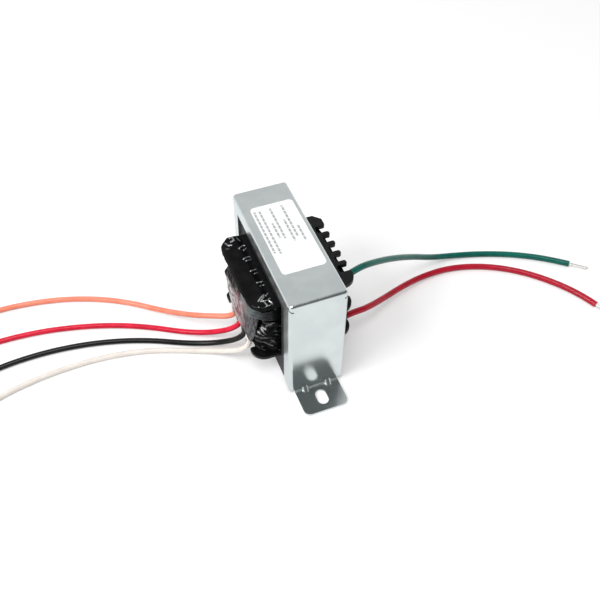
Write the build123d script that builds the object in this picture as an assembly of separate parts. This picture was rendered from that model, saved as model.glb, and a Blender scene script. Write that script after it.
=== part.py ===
from build123d import *
import math
import os

os.makedirs("parts", exist_ok=True)

# A foot-mount step-down transformer. X runs through the stack, from the
# primary side (-X) to the secondary side (+X), Y runs along the bracket from
# foot to foot, and the origin is on the mounting surface under the middle.

# Core of E and I laminations, turned end for end from pack to pack
tongue_width = 22.2
side_leg_width = 11.1
window_width = 11.1
window_height = 33.3
yoke_height = 11.1
pack_thickness = 2.02
pack_count = 11

# Bracket, folded from one strip of steel into a channel over the core
sheet = 1.2
core_fit = 0.03  # between the core and the bracket, each face
core_lift = 0.4  # core above the mounting surface
fold_radius = 1.6  # outside of the folds round the channel
lip_depth = 6.5
lip_cut_rise = 3.2  # the lips' lower ends are cut on a slope
lip_cut_run = 5.0
mitre_gap = 0.5
relief_radius = 0.6
leg_end = 2.4  # lower end of the lips above the mounting surface
foot_width = 19.7
foot_reach = 13.2
foot_bend = 0.8  # inside of the bend between leg and foot
foot_corner = 3.0
slot_width = 4.8
slot_length = 7.5
slot_inset = 6.7  # slot centre from the end of the foot
dart_spacing = 10.4
dart_radius = 1.4
dart_length = 5.0
dart_hollow = 0.8

# Split bobbin with three comb-edged flanges
tongue_clearance = 0.25
tube_wall = 1.0
tube_corner = 1.0
flange_clearance = 0.8  # to the side legs
end_clearance = 0.1  # to the yokes
flange_thickness = 1.5
flange_reach = 22.7
corner_land = 1.4  # straight edge between the last notch and the near corner
far_chamfer = 3.2  # the far corners are cut across, the near ones round
far_round = 0.8
notch_count = 5
notch_pitch = 6.1
notch_width = 3.75
notch_depth = 3.9
end_notch_depth = 5.0  # the first and last notch
notch_corner = 0.8
finger_round = 0.95
pad_length = 6.4
pad_height = 0.5
pad_edge = 0.3
rib_gap = 0.84  # between the tube and the ribs
rib_width = 1.3
rib_inset = 1.6  # outermost rib from the last notch

# Windings and their tape
comb_proud = 2.29  # comb ends past the taped coil
flange_proud = 1.1  # flange sides past the taped coil
winding_corner = 8.0
winding_gap = 0.15  # to the flange above and below
tape_build = 0.45

# Black film over the primary side's top comb
film_thickness = 0.4
film_gap = 0.05
film_margin = 1.54  # between the tube and the film's inner edge
film_skirt = 5.2  # how far it reaches down over the edge

# Clear tape over the primary joints, and its tail round the near corner
clear_tape = 0.35
joint_tape_near = -15.8
joint_tape_far = 14.0
joint_tape_foot = 2.3  # lower edge above the bottom flange
joint_tape_knee = 1.4  # below the middle flange
joint_tape_lean = 1.7  # above the middle flange
joint_tape_inset = 0.64  # where it leans, from its outer face
joint_tape_head = 1.6  # upper edge below the top flange
tail_width = 6.35
tail_end = -14.8
tail_side = 8.6

# Leads and what they come out of
primary_lead = 2.5
secondary_lead = 2.9
joint_sleeve = 3.2
joint_sleeve_length = 7.8
joint_drop = 4.9  # sleeves above the bottom flange
exit_inset = 1.0  # sleeve ends from the comb's ends
exit_sleeve = 3.7
exit_sleeve_length = 5.0
exit_sleeve_gap = 0.15  # to the flange beside it
strip_length = 9.0
strand_share = 0.46  # bare strands to insulation, in diameter
strand_end = 0.25

# Sticker on top
label_length = 40.2
label_width = 18.9
label_thickness = 0.12
label_corner = 1.8
label_x = 0.8
label_y = 2.35

overcut = 1.0  # how far a cutting shape runs past what it cuts

# Sizes that follow from the ones above
core_length = tongue_width + 2 * (window_width + side_leg_width)
core_height = window_height + 2 * yoke_height
stack_depth = pack_count * pack_thickness
core_top = core_lift + core_height
window_low = core_lift + yoke_height
window_high = window_low + window_height
inner_length = core_length + 2 * core_fit
inner_width = stack_depth + 2 * core_fit
bracket_length = inner_length + 2 * sheet
bracket_width = inner_width + 2 * sheet
bracket_top = core_top + core_fit + sheet
foot_end = bracket_length / 2 + foot_reach
slot_y = foot_end - slot_inset
flange_half = tongue_width / 2 + window_width - flange_clearance
flange_low = window_low + end_clearance
flange_high = window_high - end_clearance
middle_low = (flange_low + flange_high - flange_thickness) / 2
section_floor = [flange_low + flange_thickness, middle_low + flange_thickness]
section_roof = [middle_low, flange_high - flange_thickness]
hole_x = stack_depth / 2 + tongue_clearance
hole_y = tongue_width / 2 + tongue_clearance
tube_x = hole_x + tube_wall
tube_y = hole_y + tube_wall
comb_half = (notch_count - 1) / 2 * notch_pitch + notch_width / 2
flange_corner = flange_half - comb_half - corner_land
pad_start = flange_reach - pad_length
rib_start = tube_x + rib_gap
tape_x = flange_reach - comb_proud
tape_y = flange_half - flange_proud
winding_x = tape_x - tape_build
winding_y = tape_y - tape_build
comb_top = flange_high + pad_height
film_top = comb_top + film_gap + film_thickness
film_start = tube_x + film_margin
joint_x = tape_x + joint_sleeve / 2
joint_low = section_floor[0] + joint_drop
exit_x = flange_reach - exit_inset


def slab(x_size, y_size, low, high, x=0.0, y=0.0):
    """A box between two heights."""
    return Pos(x, y, (low + high) / 2) * Box(x_size, y_size, high - low)


def rounded_slab(half_x, half_y, corner, low, high):
    """A block with rounded upright edges, centred on the coil's axis."""
    outline = RectangleRounded(2 * half_x, 2 * half_y, corner)
    return extrude(Pos(0, 0, low) * outline, amount=high - low)


def e_lamination_pack(index):
    """One pack of E laminations, with the yoke up in even packs."""
    yoke_up = index % 2 == 0
    height = window_height + yoke_height
    low = window_low if yoke_up else core_lift
    window_mid = (window_low + window_high) / 2
    outline = Pos(0, low + height / 2) * Rectangle(core_length, height)
    for side in (-1, 1):
        middle = side * (tongue_width + window_width) / 2
        outline -= Pos(middle, window_mid) * Rectangle(window_width, window_height)
    plane = Plane.YZ.offset(index * pack_thickness - stack_depth / 2)
    return extrude(plane * outline, amount=pack_thickness)


def i_lamination_pack(index):
    """The bar that closes the open end of one E pack."""
    yoke_up = index % 2 == 0
    low = core_lift if yoke_up else window_high
    middle = (index + 0.5) * pack_thickness - stack_depth / 2
    return slab(pack_thickness, core_length, low, low + yoke_height, x=middle)


def folded_channel():
    """The strip folded over the core, with lips on both side faces."""
    outer = slab(bracket_width, bracket_length, leg_end, bracket_top)
    folds = outer.edges().filter_by(lambda edge: edge.center().Z > leg_end + sheet)
    outer = fillet(folds, fold_radius)
    channel = outer - slab(inner_width, inner_length, leg_end - sheet, bracket_top - sheet)
    edge_y = bracket_length / 2 - lip_depth
    channel -= slab(2 * bracket_width, 2 * edge_y, leg_end - sheet, bracket_top - lip_depth)
    for side in (-1, 1):
        channel -= lip_end_slope(side, edge_y)
        for face in (-1, 1):
            channel -= mitre(side, face)
    return channel


def lip_end_slope(side, edge_y):
    """Wedge that cuts the lower ends of a leg's two lips on a slope."""
    slope = lip_cut_rise / lip_cut_run
    points = [
        (side * (edge_y - sheet), leg_end - sheet * slope),
        (side * (edge_y + lip_cut_run + sheet), leg_end - sheet * slope),
        (side * (edge_y - sheet), leg_end + lip_cut_rise + sheet * slope),
    ]
    wedge = Plane.YZ * make_face(Polyline(*points, close=True))
    return extrude(wedge, amount=bracket_width, both=True)


def mitre(side, face):
    """Slit where the top's lip meets the leg's, with a relief hole at the fold."""
    lip_mid = face * (bracket_width / 2 - sheet / 2)
    hole_y_mid = side * (bracket_length / 2 - fold_radius)
    hole_z_mid = bracket_top - fold_radius
    reach = (lip_depth - fold_radius) * math.sqrt(2)
    slit = Pos(lip_mid, hole_y_mid, hole_z_mid) * Rot(side * 45, 0, 0) * Pos(0, 0, -reach / 2)
    slit *= Box(2 * sheet, mitre_gap, reach)
    hole = Pos(lip_mid, hole_y_mid, hole_z_mid) * Rot(0, 90, 0) * Cylinder(relief_radius, 2 * sheet)
    return slit + hole


def foot(side):
    """Foot bent out from the leg, with its slot and the two darts at the bend."""
    leg_in = inner_length / 2
    leg_out = leg_in + sheet
    radius = foot_bend + sheet
    overlap = 2 * sheet
    centre = leg_in + radius
    half_turn = math.sqrt(0.5)
    outline = Polyline(
        (leg_in, radius), (leg_in, leg_end + overlap), (leg_out, leg_end + overlap), (leg_out, radius)
    )
    outline += ThreePointArc(
        (leg_out, radius),
        (centre - foot_bend * half_turn, radius - foot_bend * half_turn),
        (centre, sheet),
    )
    outline += Polyline((centre, sheet), (foot_end, sheet), (foot_end, 0), (centre, 0))
    outline += ThreePointArc(
        (centre, 0), (centre - radius * half_turn, radius - radius * half_turn), (leg_in, radius)
    )
    blank = extrude(Plane.YZ * make_face(outline), amount=foot_width / 2, both=True)
    corners = blank.edges().filter_by(Axis.Z).filter_by(lambda edge: edge.center().Y > foot_end - sheet)
    blank = fillet(corners, foot_corner)
    slot = Pos(0, slot_y, 0) * Rot(0, 0, 90) * SlotOverall(slot_length, slot_width)
    blank -= extrude(slot, amount=2 * sheet, both=True)
    bend_mid = (centre - foot_bend * half_turn, radius - foot_bend * half_turn)
    for place in (-1, 1):
        at = Pos(place * dart_spacing / 2, bend_mid[0] + sheet / 4, bend_mid[1] - sheet / 4)
        placed = at * Rot(-135, 0, 0)
        blank += placed * Cylinder(dart_radius, dart_length) & slab(
            foot_width, 2 * foot_reach, 0, leg_end + overlap, y=leg_in + foot_reach
        )
        blank -= placed * Cylinder(dart_hollow, dart_length)
    if side < 0:
        blank = Rot(0, 0, 180) * blank
    return blank


def flange_outline(spare=0.0):
    """A flange in plan without its notches, grown by a spare width."""
    outline = Rectangle(2 * (flange_reach + spare), 2 * (flange_half + spare))
    outline = fillet(outline.vertices().filter_by(lambda v: v.Y < 0), flange_corner + spare)
    cut = far_chamfer + spare * (2 - math.sqrt(2))
    outline = chamfer(outline.vertices().filter_by(lambda v: v.Y > flange_half - 0.01), cut)
    ends = outline.vertices().filter_by(lambda v: v.Y > flange_half - far_chamfer - 0.01)
    return fillet(ends, far_round + spare)


def comb_outline():
    """A flange in plan, with the notches that the leads pass through at both ends."""
    outline = flange_outline()
    for end in (-1, 1):
        for index in range(notch_count):
            depth = end_notch_depth if index in (0, notch_count - 1) else notch_depth
            y = (index - (notch_count - 1) / 2) * notch_pitch
            notch = RectangleRounded(2 * depth, notch_width, notch_corner)
            outline -= Pos(end * flange_reach, y) * notch
    tips = outline.vertices().filter_by(lambda v: abs(abs(v.X) - flange_reach) < 0.01)
    tips = [v for v in tips if abs(v.Y) < comb_half + 0.01]
    return fillet(tips, finger_round)


def bobbin():
    """Square tube with three flanges, moulded in one piece."""
    comb = comb_outline()
    body = rounded_slab(tube_x, tube_y, tube_corner, flange_low, flange_high)
    for low in (flange_low, middle_low, flange_high - flange_thickness):
        body += extrude(Pos(0, 0, low) * comb, amount=flange_thickness)
    pad = extrude(Pos(0, 0, flange_high) * comb, amount=pad_height)
    pad -= slab(2 * pad_start, 3 * flange_half, flange_high - pad_height, comb_top + pad_height)
    top_edges = pad.edges().filter_by(lambda edge: edge.center().Z > comb_top - 0.01)
    body += fillet(top_edges, pad_edge)
    rib_length = pad_start - rib_start + pad_edge * 2
    rib_places = [(index - notch_count / 2 + 1) * notch_pitch for index in range(notch_count - 1)]
    rib_places += [-comb_half - rib_inset, comb_half + rib_inset]
    for end in (-1, 1):
        for y in rib_places:
            x = end * (rib_start + rib_length / 2)
            body += slab(rib_length, rib_width, flange_high, comb_top - pad_edge, x=x, y=y)
    return body - slab(2 * hole_x, 2 * hole_y, flange_low - overcut, flange_high + overcut)


def coil_ring(section, half_in, half_out, corner_in, corner_out):
    """A ring round the tube that fills one of the bobbin's two sections."""
    low = section_floor[section] + winding_gap
    high = section_roof[section] - winding_gap
    ring = rounded_slab(half_out[0], half_out[1], corner_out, low, high)
    return ring - rounded_slab(half_in[0], half_in[1], corner_in, low - overcut, high + overcut)


def comb_film():
    """Film pressed over the comb and rolled over its edge."""
    spare = film_gap + film_thickness
    hem = film_top - film_skirt
    cap = Pos(0, 0, hem) * extrude(flange_outline(spare), amount=film_skirt)
    rim = cap.edges().filter_by(lambda edge: edge.center().Z > film_top - 0.01)
    cap = fillet(rim, pad_edge + film_thickness)
    under = film_top - film_thickness
    low = hem - overcut
    inside = Pos(0, 0, low) * extrude(flange_outline(film_gap), amount=under - low)
    rim = inside.edges().filter_by(lambda edge: edge.center().Z > under - 0.01)
    cap -= fillet(rim, pad_edge)
    keep = slab(
        flange_reach, 3 * flange_half, low, film_top + overcut, x=-film_start - flange_reach / 2
    )
    return cap & keep


def joint_tape():
    """Clear tape that leans out over the middle comb and down over the joints."""
    outer_x = tape_x + joint_sleeve + clear_tape
    outside = [
        (-(tape_x + 2 * clear_tape + film_gap), section_roof[1] - joint_tape_head),
        (-(outer_x - joint_tape_inset), section_floor[1] + joint_tape_lean),
        (-outer_x, middle_low - joint_tape_knee),
        (-outer_x, section_floor[0] + joint_tape_foot),
    ]
    inside = [(x + clear_tape, z) for x, z in reversed(outside)]
    profile = Plane.XZ * make_face(Polyline(*outside, *inside, close=True))
    width = joint_tape_far - joint_tape_near
    return Pos(0, joint_tape_far, 0) * extrude(profile, amount=width)


def tape_tail():
    """End of the clear tape, laid round the near corner of the upper winding."""
    high = section_roof[1] - winding_gap
    low = high - tail_width
    band = rounded_slab(
        tape_x + clear_tape, tape_y + clear_tape, winding_corner + tape_build + clear_tape,
        low, high,
    )
    low -= overcut
    high += overcut
    band -= rounded_slab(tape_x, tape_y, winding_corner + tape_build, low, high)
    length = tape_y - tail_side
    keep = slab(tape_x, 2 * length, low, high, x=tail_end - tape_x / 2, y=-tape_y)
    return band & keep


def along(route, back, forward):
    """Ends of a straight piece laid along a route's first run."""
    start = Vector(*route[0])
    heading = (Vector(*route[1]) - start).normalized()
    return start - heading * back, start + heading * forward, heading


def rod(start, heading, radius, length):
    """A round rod from a point, along a heading."""
    return extrude(Plane(origin=start, z_dir=heading) * Circle(radius), amount=length)


def exit_sleeve_on(route, spare=0.0):
    """Sleeve round a secondary lead where it comes out of the winding."""
    start, _, heading = along(route, exit_sleeve_length, 0)
    return rod(start, heading, exit_sleeve / 2 + spare, exit_sleeve_length + 2 * spare)


def lead_path(name, route, diameter):
    """A lead's centre line: straight runs joined by arcs as large as fit."""
    points = [Vector(*point) for point in route]
    radii = []
    for before, here, after in zip(points, points[1:], points[2:]):
        run_in = here - before
        run_out = after - here
        turn = math.radians(run_in.get_angle(run_out))
        shorter = min(run_in.length, run_out.length)
        radii.append(0.45 * shorter / math.tan(turn / 2))
    print(name, "radii in diameters:", [round(radius / diameter, 1) for radius in radii])
    return FilletPolyline(*points, radius=radii)


def lead_tube(name, route, diameter):
    """A lead's insulation along its route."""
    path = lead_path(name, route, diameter)
    section = Plane(origin=path @ 0, z_dir=path % 0) * Circle(diameter / 2)
    tube = sweep(section, path=path)
    share = tube.volume / (math.pi * diameter**2 / 4 * path.length)
    print(name, "length", round(path.length, 1), "volume over section times length", round(share, 4))
    return tube


def bare_end(route, diameter):
    """Twisted and tinned strands past the end of the insulation."""
    end = Vector(*route[-1])
    heading = (end - Vector(*route[-2])).normalized()
    strands = rod(end, heading, strand_share * diameter / 2, strip_length)
    far = strands.faces().sort_by(lambda face: (face.center() - end).length)[-1]
    return fillet(far.edges(), strand_end)


def label():
    """Sticker with rounded corners."""
    outline = Pos(label_x, label_y, bracket_top) * RectangleRounded(label_width, label_length, label_corner)
    return extrude(outline, amount=label_thickness)


# Lead routes, each from where the lead leaves its sleeve. The primary leads
# drop through the lower comb's notches, and all lie down on the surface.
lead_rest = 0.05
primary_z = primary_lead / 2 + lead_rest
secondary_z = secondary_lead / 2 + lead_rest
upper_exit_z = section_roof[1] - exit_sleeve / 2 - exit_sleeve_gap
lower_exit_z = section_floor[0] + exit_sleeve / 2 + exit_sleeve_gap

orange_route = [
    (-joint_x, notch_pitch, joint_low), (-joint_x, notch_pitch, 14.0), (-25.1, 6.9, 11.6),
    (-30.3, 10.3, 10.2), (-37.7, 15.6, 7.8), (-45.4, 22.9, 4.6), (-53.2, 30.8, 1.9),
    (-63.5, 39.5, primary_z), (-76.5, 47.0, primary_z), (-91.9, 52.8, primary_z),
    (-108.7, 56.1, primary_z), (-125.8, 56.8, primary_z), (-144.3, 54.7, primary_z),
]
red_route = [
    (-joint_x, 0.0, joint_low), (-joint_x, 0.0, 13.8), (-25.1, 0.6, 10.8),
    (-29.9, 3.7, 6.9), (-37.5, 8.9, 3.0), (-46.9, 14.8, primary_z), (-58.6, 22.0, primary_z),
    (-73.1, 28.8, primary_z), (-89.9, 34.1, primary_z), (-108.1, 37.5, primary_z),
    (-127.8, 38.2, primary_z), (-149.4, 35.9, primary_z),
]
black_route = [
    (-joint_x, -notch_pitch, joint_low), (-joint_x, -notch_pitch, 13.8), (-24.9, -5.6, 10.6),
    (-28.9, -2.5, 6.7), (-36.1, 2.1, 2.9), (-46.6, 7.5, primary_z), (-60.3, 14.5, primary_z),
    (-75.9, 20.0, primary_z), (-93.1, 23.5, primary_z), (-111.1, 24.6, primary_z),
    (-129.8, 22.9, primary_z), (-150.7, 17.9, primary_z),
]
white_route = [
    (-joint_x, -2 * notch_pitch, joint_low), (-joint_x, -2 * notch_pitch, 13.8), (-24.8, -11.7, 10.4),
    (-28.5, -7.9, 6.0), (-34.9, -2.6, 2.7), (-44.6, 2.2, primary_z), (-60.0, 8.6, primary_z),
    (-76.7, 12.2, primary_z), (-94.3, 13.0, primary_z), (-111.7, 11.5, primary_z),
    (-129.2, 7.6, primary_z), (-149.7, -0.0, primary_z),
]
green_route = [
    (exit_x, -13.3, upper_exit_z), (exit_x + 5.4, -11.2, upper_exit_z), (36.0, -7.3, 37.4),
    (50.0, 0.0, 27.8), (65.6, 7.6, 15.6), (79.2, 11.9, 5.8), (91.5, 12.6, 1.9),
    (105.0, 9.2, secondary_z), (119.8, 3.2, secondary_z), (134.0, -5.1, secondary_z),
    (142.8, -12.5, secondary_z),
]
red_secondary_route = [
    (exit_x, -13.9, lower_exit_z), (exit_x + 4.8, -13.2, lower_exit_z), (32.9, -12.2, 13.9),
    (45.1, -5.6, 8.5), (58.5, 0.9, 4.8), (72.3, 5.4, 2.1), (87.2, 5.9, secondary_z),
    (102.6, 1.3, secondary_z), (116.8, -7.4, secondary_z), (128.3, -19.0, secondary_z),
    (137.0, -31.9, secondary_z), (139.8, -39.5, secondary_z),
]
primary_leads = {
    "orange_lead": orange_route,
    "red_lead": red_route,
    "black_lead": black_route,
    "white_lead": white_route,
}
secondary_leads = {
    "green_lead": green_route,
    "red_secondary_lead": red_secondary_route,
}


def build_parts():
    """Every piece, by the name of its node."""
    parts = {}
    parts["bracket"] = folded_channel() + foot(-1) + foot(1)
    parts["e_laminations"] = Compound([e_lamination_pack(index) for index in range(pack_count)])
    parts["i_laminations"] = Compound([i_lamination_pack(index) for index in range(pack_count)])
    parts["bobbin"] = bobbin()

    bores = [exit_sleeve_on(route, core_fit) for route in secondary_leads.values()]
    for section, name in enumerate(("primary", "secondary")):
        winding = coil_ring(
            section, (tube_x + core_fit, tube_y + core_fit), (winding_x, winding_y),
            tube_corner, winding_corner,
        )
        tape = coil_ring(
            section, (winding_x, winding_y), (tape_x, tape_y),
            winding_corner, winding_corner + tape_build,
        )
        for bore in bores:
            winding -= bore
            tape -= bore
        parts[name + "_winding"] = winding
        parts[name + "_tape"] = tape

    parts["comb_film"] = comb_film()
    parts["joint_tape"] = joint_tape()
    parts["tape_tail"] = tape_tail()

    up = Vector(0, 0, 1)
    joints = []
    for route in primary_leads.values():
        joints.append(rod(Vector(*route[0]), up, joint_sleeve / 2, joint_sleeve_length))
    parts["joint_sleeves"] = Compound(joints)
    parts["exit_sleeves"] = Compound([exit_sleeve_on(route) for route in secondary_leads.values()])

    for leads, diameter in ((primary_leads, primary_lead), (secondary_leads, secondary_lead)):
        for name, route in leads.items():
            parts[name] = lead_tube(name, route, diameter)
            parts[name + "_end"] = bare_end(route, diameter)

    parts["label"] = label()
    return parts


for name, piece in build_parts().items():
    export_step(piece, f"parts/{name}.step")
    print(name, "solids", len(piece.solids()), "volume", round(piece.volume, 2))
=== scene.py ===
import bpy
import math
import random
from mathutils import Matrix, Vector


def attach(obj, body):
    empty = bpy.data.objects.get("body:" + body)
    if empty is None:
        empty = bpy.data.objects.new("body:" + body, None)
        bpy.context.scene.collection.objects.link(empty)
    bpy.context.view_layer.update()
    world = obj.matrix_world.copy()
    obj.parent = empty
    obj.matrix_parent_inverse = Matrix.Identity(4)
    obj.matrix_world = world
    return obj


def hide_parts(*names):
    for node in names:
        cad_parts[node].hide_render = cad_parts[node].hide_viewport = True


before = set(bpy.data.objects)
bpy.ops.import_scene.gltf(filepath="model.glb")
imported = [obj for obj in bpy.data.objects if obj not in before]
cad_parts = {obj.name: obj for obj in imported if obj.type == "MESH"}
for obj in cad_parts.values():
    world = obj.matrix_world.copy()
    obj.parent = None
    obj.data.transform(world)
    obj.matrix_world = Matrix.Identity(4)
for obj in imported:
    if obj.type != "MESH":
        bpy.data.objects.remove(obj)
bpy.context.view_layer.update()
print("frame loaded")

mm = 0.001
scene = bpy.context.scene


# Shader maths: a socket that adds Math nodes when it meets an operator
class Signal:
    def __init__(self, kit, socket):
        self.kit = kit
        self.socket = socket

    def maths(self, operation, first, second=None):
        inputs = {0: first}
        if second is not None:
            inputs[1] = second
        return self.kit.add("ShaderNodeMath", {"operation": operation}, inputs).out()

    def __add__(self, other):
        return self.maths("ADD", self, other)

    def __radd__(self, other):
        return self.maths("ADD", other, self)

    def __sub__(self, other):
        return self.maths("SUBTRACT", self, other)

    def __rsub__(self, other):
        return self.maths("SUBTRACT", other, self)

    def __mul__(self, other):
        return self.maths("MULTIPLY", self, other)

    def __rmul__(self, other):
        return self.maths("MULTIPLY", other, self)

    def __truediv__(self, other):
        return self.maths("DIVIDE", self, other)

    def __gt__(self, other):
        return self.maths("GREATER_THAN", self, other)

    def __lt__(self, other):
        return self.maths("LESS_THAN", self, other)

    def floor(self):
        return self.maths("FLOOR", self)

    def fraction(self):
        return self.maths("FRACT", self)

    def size(self):
        return self.maths("ABSOLUTE", self)

    # 0 below the first value, 1 above the second, smooth between
    def ramp(self, low, high):
        settings = {"interpolation_type": "SMOOTHSTEP"}
        inputs = {"Value": self, "From Min": low, "From Max": high}
        return self.kit.add("ShaderNodeMapRange", settings, inputs).out("Result")


class Node:
    def __init__(self, kit, node):
        self.kit = kit
        self.node = node

    def out(self, name=0):
        return Signal(self.kit, self.node.outputs[name])


# The nodes of one material or of the world
class Kit:
    def __init__(self, tree):
        self.tree = tree
        tree.nodes.clear()

    # One node from its type, its settings, and the values or links of its sockets
    def add(self, kind, settings=None, inputs=None):
        node = self.tree.nodes.new(kind)
        for name, value in (settings or {}).items():
            setattr(node, name, value)
        for name, value in (inputs or {}).items():
            if isinstance(value, Signal):
                self.tree.links.new(value.socket, node.inputs[name])
            else:
                node.inputs[name].default_value = value
        return Node(self, node)

    def position(self):
        return self.add("ShaderNodeTexCoord").out("Object")

    def axes(self):
        split = self.add("ShaderNodeSeparateXYZ", {}, {0: self.position()})
        return split.out("X"), split.out("Y"), split.out("Z")

    # Cloudy noise from 0 to 1, with a grain in metres
    def noise(self, grain, detail=3.0, stretch=(1, 1, 1), roughness=0.5):
        place = self.add(
            "ShaderNodeVectorMath", {"operation": "MULTIPLY"}, {0: self.position(), 1: stretch}
        ).out()
        inputs = {"Vector": place, "Scale": 1 / grain, "Detail": detail, "Roughness": roughness}
        return self.add("ShaderNodeTexNoise", {}, inputs).out("Fac")

    def blend(self, mask, first, second):
        inputs = {0: mask, 6: first, 7: second}
        return self.add("ShaderNodeMix", {"data_type": "RGBA"}, inputs).out(2)

    def bump(self, height, depth):
        return self.add("ShaderNodeBump", {}, {"Height": height, "Distance": depth}).out("Normal")

    # How far the surface faces along X, either way
    def facingX(self):
        facing = self.add("ShaderNodeNewGeometry").out("Normal")
        return self.add("ShaderNodeSeparateXYZ", {}, {0: facing}).out("X").size()

    def shader(self, **inputs):
        named = {name.replace("_", " "): value for name, value in inputs.items()}
        return self.add("ShaderNodeBsdfPrincipled", {}, named).out()

    def finish(self, surface):
        self.add("ShaderNodeOutputMaterial", {}, {"Surface": surface})


def newMaterial(name):
    material = bpy.data.materials.new(name)
    material.use_nodes = True
    return material, Kit(material.node_tree)


def rgb(red, green, blue):
    return (red, green, blue, 1.0)


# A material on a CAD node, which stays as it is
def dress(node, material):
    for slot in bpy.data.objects[node].material_slots:
        slot.link = "OBJECT"
        slot.material = material


# A piece of this scene, with its material and the CAD nodes that it stands for; its slot name is not
# used
def place(piece, material, replaced, slotName):
    piece.data.materials.append(material)
    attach(piece, "root")
    if replaced:
        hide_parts(*replaced)


def newMesh(name, points, faces, smooth=True):
    mesh = bpy.data.meshes.new(name)
    mesh.from_pydata(points, [], faces)
    mesh.update()
    if smooth:
        mesh.polygons.foreach_set("use_smooth", [True] * len(mesh.polygons))
    piece = bpy.data.objects.new(name, mesh)
    scene.collection.objects.link(piece)
    return piece


# Camera, as fitted to the bracket's corners in the photo
camera = {
    "place": (-82.756, -218.132, 290.566),
    "azimuth": 22.109,
    "elevation": 49.244,
    "roll": 0.9352,
    "lens": 48.777,
    "sensor": 36.0,
    "nearest": 0.01,
}


def addCamera():
    azimuth = math.radians(camera["azimuth"])
    elevation = math.radians(camera["elevation"])
    roll = math.radians(camera["roll"])
    forward = Vector((
        math.sin(azimuth) * math.cos(elevation),
        math.cos(azimuth) * math.cos(elevation),
        -math.sin(elevation),
    ))
    right = forward.cross(Vector((0, 0, 1))).normalized()
    upward = right.cross(forward)
    across = right * math.cos(roll) + upward * math.sin(roll)
    above = upward * math.cos(roll) - right * math.sin(roll)
    turn = Matrix((across, above, -forward)).transposed().to_4x4()
    lens = bpy.data.cameras.new("camera")
    lens.lens = camera["lens"]
    lens.sensor_width = camera["sensor"]
    lens.clip_start = camera["nearest"]
    eye = bpy.data.objects.new("camera", lens)
    eye.matrix_world = Matrix.Translation(Vector(camera["place"]) * mm) @ turn
    scene.collection.objects.link(eye)
    scene.camera = eye


addCamera()
print("camera placed")


# Leads: colour-coded insulation over tinned strands
leads = {
    "primaryDiameter": 2.5,
    "secondaryDiameter": 2.9,
    "insulated": 143.5,
    "strip": 9.0,
    "strandShare": 0.46,
    "twistPitch": 9.0,
    "curveOrder": 3,
    "stepsAround": 8,
    "stepsAlong": 12,
    "jointX": 22.01,
    "primaryZ": 1.3,
    "secondaryZ": 1.5,
    "upperExitZ": 41.2,
    "lowerExitZ": 15.1,
}
jointX = leads["jointX"]
primaryZ = leads["primaryZ"]
secondaryZ = leads["secondaryZ"]
upperExitZ = leads["upperExitZ"]
lowerExitZ = leads["lowerExitZ"]

routes = {
    "orange_lead": [
        (-jointX, 6.1, 18.0), (-jointX, 6.1, 14.0), (-25.1, 6.9, 11.6), (-30.3, 10.3, 10.2),
        (-37.7, 15.6, 7.8), (-45.4, 22.9, 4.6), (-53.2, 30.8, 1.9), (-63.5, 39.5, primaryZ),
        (-76.5, 47.0, primaryZ), (-91.9, 52.8, primaryZ), (-108.7, 56.1, primaryZ),
        (-125.8, 56.8, primaryZ), (-144.3, 54.7, primaryZ),
    ],
    "red_lead": [
        (-jointX, 0.0, 18.0), (-jointX, 0.0, 13.8), (-25.1, 0.6, 10.8), (-29.9, 3.7, 6.9),
        (-37.5, 8.9, 3.0), (-46.9, 14.8, primaryZ), (-58.6, 22.0, primaryZ),
        (-73.1, 28.8, primaryZ), (-89.9, 34.1, primaryZ), (-108.1, 37.5, primaryZ),
        (-127.8, 38.2, primaryZ), (-149.4, 35.9, primaryZ),
    ],
    "black_lead": [
        (-jointX, -6.1, 18.0), (-jointX, -6.1, 13.8), (-24.9, -5.6, 10.6), (-28.9, -2.5, 6.7),
        (-36.1, 2.1, 2.9), (-46.6, 7.5, primaryZ), (-60.3, 14.5, primaryZ),
        (-75.9, 20.0, primaryZ), (-93.1, 23.5, primaryZ), (-111.1, 24.6, primaryZ),
        (-129.8, 22.9, primaryZ), (-150.7, 17.9, primaryZ),
    ],
    "white_lead": [
        (-jointX, -12.2, 18.0), (-jointX, -12.2, 13.8), (-24.8, -11.7, 10.4), (-28.5, -7.9, 6.0),
        (-34.9, -2.6, 2.7), (-44.6, 2.2, primaryZ), (-60.0, 8.6, primaryZ),
        (-76.7, 12.2, primaryZ), (-94.3, 13.0, primaryZ), (-111.7, 11.5, primaryZ),
        (-129.2, 7.6, primaryZ), (-149.7, -0.0, primaryZ),
    ],
    "green_lead": [
        (21.7, -13.3, upperExitZ), (27.1, -11.2, upperExitZ), (36.0, -7.3, 37.4),
        (50.0, 0.0, 27.8), (65.6, 7.6, 15.6), (79.2, 11.9, 5.8), (91.5, 12.6, 1.9),
        (105.0, 9.2, secondaryZ), (119.8, 3.2, secondaryZ), (134.0, -5.1, secondaryZ),
        (142.8, -12.5, secondaryZ),
    ],
    "red_secondary_lead": [
        (21.7, -13.9, lowerExitZ), (26.5, -13.2, lowerExitZ), (32.9, -12.2, 13.9),
        (45.1, -5.6, 8.5), (58.5, 0.9, 4.8), (72.3, 5.4, 2.1), (87.2, 5.9, secondaryZ),
        (102.6, 1.3, secondaryZ), (116.8, -7.4, secondaryZ), (128.3, -19.0, secondaryZ),
        (137.0, -31.9, secondaryZ), (139.8, -39.5, secondaryZ),
    ],
}


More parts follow.
